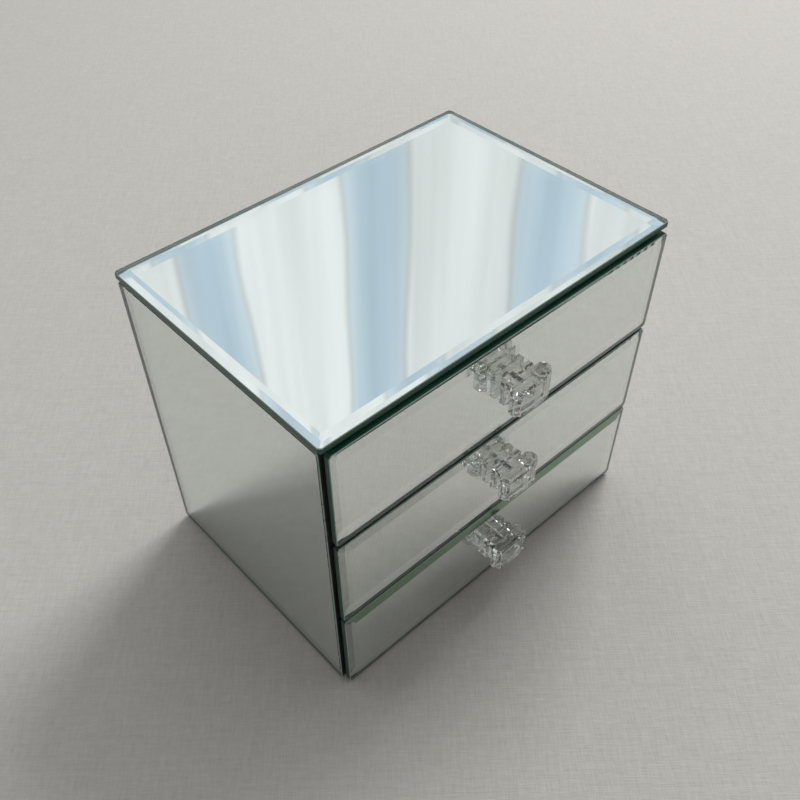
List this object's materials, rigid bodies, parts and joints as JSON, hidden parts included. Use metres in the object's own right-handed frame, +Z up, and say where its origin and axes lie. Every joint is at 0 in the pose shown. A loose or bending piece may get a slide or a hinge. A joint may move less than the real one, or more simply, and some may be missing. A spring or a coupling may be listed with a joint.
{
  "type": "mirrored trinket box",
  "caption": "Rectangular trinket box of bevelled mirror glass over a black carcass, with stacked sliding drawers, velvet-lined trays and clear block knobs.",
  "frame": {"origin": "centre of the top mirror's outline, on the surface that the box stands on, which is the base felt's underside", "axes": "+X towards the box's right as seen from its front, the drawers open towards -Y, +Z up"},
  "size_m": [0.22, 0.1684, 0.187],
  "materials": {
    "mirror_glass": "silvered float glass, polished, with bevelled face and pale green ground edges",
    "black_board": "fibreboard with satin black paint",
    "felt": "black felt",
    "velvet": "black velvet",
    "clear_knob": "clear polished crystal",
    "plated_steel": "zinc-plated steel"
  },
  "bodies": {
    "carcass": {"base_felt": "felt", "bottom_board": "black_board", "left_board": "black_board", "right_board": "black_board", "back_board": "black_board", "top_board": "black_board", "lower_shelf": "black_board", "upper_shelf": "black_board", "back_felt": "felt", "left_mirror": "mirror_glass", "right_mirror": "mirror_glass", "top_mirror": "mirror_glass"},
    "top_drawer": {"top_drawer_front_mirror": "mirror_glass", "top_drawer_front_board": "black_board", "top_drawer_left_wall": "black_board", "top_drawer_right_wall": "black_board", "top_drawer_back_wall": "black_board", "top_drawer_bottom": "black_board", "top_drawer_liner": "velvet", "top_drawer_pad": "velvet", "top_drawer_knob": "clear_knob", "top_drawer_screw": "plated_steel", "top_drawer_washer": "plated_steel"},
    "middle_drawer": {"middle_drawer_front_mirror": "mirror_glass", "middle_drawer_front_board": "black_board", "middle_drawer_left_wall": "black_board", "middle_drawer_right_wall": "black_board", "middle_drawer_back_wall": "black_board", "middle_drawer_bottom": "black_board", "middle_drawer_liner": "velvet", "middle_drawer_pad": "velvet", "middle_drawer_knob": "clear_knob", "middle_drawer_screw": "plated_steel", "middle_drawer_washer": "plated_steel"},
    "bottom_drawer": {"bottom_drawer_front_mirror": "mirror_glass", "bottom_drawer_front_board": "black_board", "bottom_drawer_left_wall": "black_board", "bottom_drawer_right_wall": "black_board", "bottom_drawer_back_wall": "black_board", "bottom_drawer_bottom": "black_board", "bottom_drawer_liner": "velvet", "bottom_drawer_pad": "velvet", "bottom_drawer_knob": "clear_knob", "bottom_drawer_screw": "plated_steel", "bottom_drawer_washer": "plated_steel"}
  },
  "joints": [
    {"name": "top_drawer_slide", "type": "slide", "parent": "carcass", "child": "top_drawer", "axis": [0, -1, 0], "range_m": [0, 0.1]},
    {"name": "middle_drawer_slide", "type": "slide", "parent": "carcass", "child": "middle_drawer", "axis": [0, -1, 0], "range_m": [0, 0.1]},
    {"name": "bottom_drawer_slide", "type": "slide", "parent": "carcass", "child": "bottom_drawer", "axis": [0, -1, 0], "range_m": [0, 0.1]}
  ]
}
